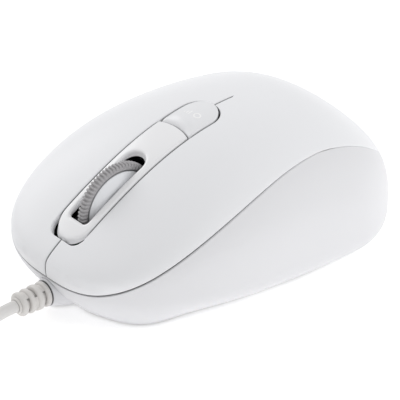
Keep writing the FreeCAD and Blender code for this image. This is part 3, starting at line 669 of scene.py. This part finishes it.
def column_normal(column, way):
    angle, step = column
    return skin_normal(angle, way, SPLIT_GAP + EDGE if step is None else 0.3)


def way_at_y(column, y):
    return crossing(lambda w: column_point(column, w)[0].y < y, 0.0, 1.6)


def way_at_seam(column, rise):
    def above(way):
        point = column_point(column, way)[0]
        return point.z > arch(point.y, SEAM) + half_gap(point.y) + rise
    return crossing(above, 0.05, 1.98)


def way_at_opening(column, grow):
    def inside(way):
        point = column_point(column, way)[0]
        return inside_strip(point.x, point.y, OPENING, grow)
    return crossing(inside, 0.0, 1.0)


def spaced_ways(column, start, end, count):
    """Ways from start to end at even distances over the skin."""
    fine = [start + (end - start) * i / 60 for i in range(61)]
    spots = [column_point(column, w)[0] for w in fine]
    runs = [0.0]
    for a, b in zip(spots, spots[1:]):
        runs.append(runs[-1] + (b - a).length)
    ways = []
    k = 0
    for i in range(count):
        goal = runs[-1] * i / (count - 1)
        while k < 59 and runs[k + 1] < goal:
            k += 1
        span = max(runs[k + 1] - runs[k], 1e-9)
        ways.append(fine[k] + (fine[k + 1] - fine[k]) * min((goal - runs[k]) / span, 1.0))
    return ways


def skin_loop(column, start_rows, end_rows, count):
    """The closed section of a shell along one column, as outer points and then inner ones.

    start_rows and end_rows are (way, depth) pairs, from the edge inwards."""
    rows = list(start_rows)
    rows += [(w, 0.0) for w in spaced_ways(column, start_rows[-1][0], end_rows[-1][0], count)[1:-1]]
    rows += list(reversed(end_rows))
    outer, inner = [], []
    for way, depth in rows:
        point, side_depth = column_point(column, way)
        normal = column_normal(column, way)
        outer.append(point - normal * max(depth, side_depth))
        inner.append(point - normal * WALL)
    return outer + inner[::-1]


def rounded_rows(find, edge=EDGE):
    return [(find(edge * inward), edge * down) for inward, down in ROUND]


def half_columns():
    front = [(-math.pi / 2, k) for k in range(4)]
    rear = [(math.pi / 2, k) for k in (3, 2, 1, 0)]
    sides = [(a, None) for a in rim_angles(SIDE_COLUMNS)]
    return front + sides + rear


def corner_angle():
    """The angle of the column whose seam lies on the line between buttons and palm."""
    def ahead(angle):
        column = (angle, None)
        return way_at_seam(column, 0.0) < way_at_y(column, CUT_Y)
    return crossing(ahead, -0.5, 1.2)


def mirrored(points):
    return [Vector((-p.x, p.y, p.z)) for p in points]


def make_top():
    """The two buttons, which run into the palm cover behind them, and that cover."""
    corner = corner_angle()
    columns = half_columns()
    columns = [c for c in columns if abs(c[0] - corner) > 0.006]
    place = next(i for i, c in enumerate(columns) if c[0] > corner)
    columns.insert(place, (corner, None))
    button, palm = [], []
    for column in columns:
        inner_edge = rounded_rows(lambda grow: way_at_opening(column, grow))
        edge = EDGE * smooth(abs(column[0] - corner), 0.0, 0.12)
        at_seam = rounded_rows(lambda rise: way_at_seam(column, rise), edge)
        at_cut = [(way_at_y(column, CUT_Y - 0.001), 0.0)] * 4
        ahead = column[0] <= corner
        button.append(skin_loop(column, inner_edge, at_seam if ahead else at_cut, BUTTON_ROWS))
        if column[0] >= corner:
            cut = [(way_at_y(column, CUT_Y), 0.0)] * 4
            if column[0] == corner:
                at_seam = cut
            palm.append(skin_loop(column, cut, at_seam, PALM_ROWS))
    white = FINISHES["shell_white"]
    for name, body, node, side in (("left_button_skin", "left_key", "left_button", 1),
                                   ("right_button_skin", "right_key", "right_button", -1)):
        loops = button if side > 0 else [mirrored(loop) for loop in button]
        skin = piece(name, *loft(loops, False), None, "shell_white", white)
        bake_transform(skin)
        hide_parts(node)
    loops = palm + [mirrored(loop) for loop in reversed(palm[:-1])]
    cover = piece("palm_cover_skin", *loft(loops, False), "mouse", "shell_white", white)
    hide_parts("top_cover")


def plate_loops(strip, centre_y, inset, thickness, edge, count, hole=None, dip=None, rays=96):
    """Closed sections, one per ray from a middle point, of a plate that follows the skin.

    With a hole each section runs from the hole's edge to the outline; without one it runs from
    the middle point."""
    loops = []
    for i in range(rays):
        turn = 2 * math.pi * i / rays
        ray = Vector((math.cos(turn), math.sin(turn)))

        def reach(shape, grow):
            def inside(distance):
                return inside_strip(ray.x * distance, centre_y + ray.y * distance, shape, grow)
            return crossing(inside, 0.0, HALF_LENGTH)

        rows = []
        if hole:
            rows += [(reach(hole, edge * inward), edge * down) for inward, down in ROUND]
        else:
            rows += [(0.02, 0.0)]
        outline = [(reach(strip, -edge * inward), edge * down) for inward, down in ROUND]
        near, far = rows[-1][0], outline[-1][0]
        rows += [(near + (far - near) * k / count, 0.0) for k in range(1, count)]
        rows += outline[::-1]
        outer, inner = [], []
        for distance, depth in rows:
            x, y = ray.x * distance, centre_y + ray.y * distance
            low = dip(x, y) if dip else 0.0
            point = Vector((x, y, skin_height(x, y, inset) - low))
            normal = top_normal(x, y, inset)
            outer.append(point - normal * depth)
            inner.append(point - Vector((0, 0, thickness)))
        loops.append(outer + inner[::-1])
    return loops


def panel_dip(x, y):
    """The panel is crowned, and its nose sinks back to the level of the buttons."""
    crown = 0.25 * (1 - (x / PANEL[0]) ** 2) * (1 - 0.5 * smooth(y, -20.0, -11.0))
    return 0.4 * smooth(-y, 40.5, 46.5) - crown


def key_dip(x, y):
    """The key is domed, and its front end slopes down to the panel."""
    across = x / KEY[0]
    front = KEY[1] + KEY[5] * (1 - across ** 2)
    dome = 0.75 * (1 - across ** 2) * smooth(y, -9.5, -6.0)
    return 0.55 * (1 - smooth(y - front, -0.3, 1.4)) - dome


def make_panel():
    loops = plate_loops(PANEL, centre_y=-31.0, inset=-0.3, thickness=1.45, edge=0.65, count=10,
                        hole=SLOT, dip=panel_dip, rays=200)
    panel = piece("panel_skin", *loft(loops, True), "mouse", "panel_white", FINISHES["panel_white"])
    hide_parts("centre_panel")
    loops = plate_loops(KEY, centre_y=-3.6, inset=0.0, thickness=2.0, edge=0.5, count=14,
                        dip=key_dip, rays=160)
    # the key's finish also darkens the colour in its narrow gaps as painted shade
    satin = material("key_white", record_color("shell_white"), 0.3, grain=0.002, spread=0.004, crevice=0.9)
    key = piece("resolution_key_cap", *loft(loops, True), "resolution_key", "shell_white", satin)
    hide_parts("dpi_button")


def key_surface(x, y, lift):
    return Vector((x, y, skin_height(x, y) - key_dip(x, y) + lift))


def make_key_mark():
    """A plain printed mark: three bars of rising length and a ring."""
    paint = material("mark_white", (0.99, 0.99, 0.99), 0.35, grain=0.002, spread=0.004)
    low, high = -0.03, 0.03
    ring_x, ring_y = 1.4, -3.6
    wide, long, line = 1.15, 0.95, 0.36
    first_bar_x, bar_step, bar_rise, bar_half = -2.6, 0.8, 0.5, 0.17
    loops = []
    for i in range(32):
        turn = 2 * math.pi * i / 32
        loop = []
        for shrink, lift in ((0.0, high), (line, high), (line, low), (0.0, low)):
            loop.append(key_surface(ring_x + (wide - shrink) * math.cos(turn),
                                    ring_y + (long - shrink) * math.sin(turn), lift))
        loops.append(loop)
    parts = [piece("mark_ring", *loft(loops, True), "resolution_key", "panel_white", paint)]
    for i in range(3):
        bar_x = first_bar_x + bar_step * i
        loops = []
        for y in (ring_y - long, ring_y - long + bar_rise * (i + 1)):
            loops.append([key_surface(bar_x + dx, y, lift) for dx, lift in
                          ((-bar_half, high), (bar_half, high), (bar_half, low), (-bar_half, low))])
        parts.append(piece("mark_bar_%d" % (i + 1), *loft(loops, False), "resolution_key", "panel_white",
                           paint))
    return join(parts, "resolution_mark")


# ---- wheel ---------------------------------------------------------------------------------
RIBS = 70


def make_tyre():
    """The tyre, with fine grooves across its tread and down its rounded shoulders."""
    outer, inner, half = 11.9, 10.3, 1.2
    groove_depth = 0.4
    per_rib = 8
    steps = RIBS * per_rib
    loops = []
    for i in range(steps):
        turn = 2 * math.pi * i / steps
        phase = (i % per_rib) / per_rib
        crest_share = smooth(abs(phase - 0.5) * 2, 0.25, 0.65)
        depth = groove_depth * (1 - crest_share)
        crest, side = outer - depth, half - 0.5 * depth
        shoulder = [(half, inner), (side, outer - 1.0), (side - 0.05, crest - 0.45),
                    (side - 0.2, crest - 0.15), (side - 0.45, crest)]
        section = [(-x, r) for x, r in shoulder] + shoulder[::-1]
        loops.append([Vector((x, WHEEL_Y + r * math.cos(turn), WHEEL_Z + r * math.sin(turn)))
                      for x, r in section])
    tyre = piece("ribbed_tyre", *loft(loops, True), "wheel", "tyre_grey", FINISHES["tyre_grey"], 50.0)
    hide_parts("wheel_tyre")


def make_hub():
    # distance along the axle and radius
    profile = [(-11.3, 0), (-11.3, 1.05), (-8.3, 1.05), (-8.3, 1.45), (-3.35, 1.5), (-3.2, 2.0),
               (-3.15, 3.6), (-3.0, 5.2), (-2.7, 6.8), (-2.2, 8.2), (-1.55, 9.3), (-1.25, 9.8), (-0.7, 9.9),
               (-0.7, 10.4), (0.7, 10.4), (0.7, 9.9), (1.25, 9.8), (1.55, 9.3), (2.2, 8.2), (2.7, 6.8),
               (3.0, 5.2), (3.15, 3.6), (3.2, 2.0), (3.35, 1.5), (6.25, 1.45), (6.25, 0)]
    hub = lathe("dished_hub", profile, (0, WHEEL_Y, WHEEL_Z), (1, 0, 0), "wheel", "wheel_white",
                FINISHES["wheel_white"], steps=128)
    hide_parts("wheel_hub")


def make_spring():
    """The cradle's spring, a helix of wire standing on its foot."""
    x, y, foot, top = 8.4, -17.4, 7.8, 15.15
    radius, wire, pitch = 1.5, 0.2, 1.3
    rise = top - foot - 2 * wire
    turns = rise / pitch
    steps = round(24 * turns)
    loops = []
    for i in range(steps + 1):
        turn = 2 * math.pi * turns * i / steps
        spoke = Vector((math.cos(turn), math.sin(turn), 0))
        middle = Vector((x, y, foot + wire + rise * i / steps)) + spoke * radius
        loops.append([middle + spoke * (wire * math.cos(k * math.pi / 4))
                      + Vector((0, 0, wire * math.sin(k * math.pi / 4))) for k in range(8)])
    spring = piece("spring_wire", *loft(loops, False), "mouse", "screw_steel", FINISHES["screw_steel"])
    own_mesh(spring)
    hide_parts("cradle_spring")


make_camera()
cable = make_cable()
finish_cad_nodes()
relief = make_relief()
make_tie()
make_top()
make_panel()
make_key_mark()
make_tyre()
make_hub()
make_spring()
make_stage()
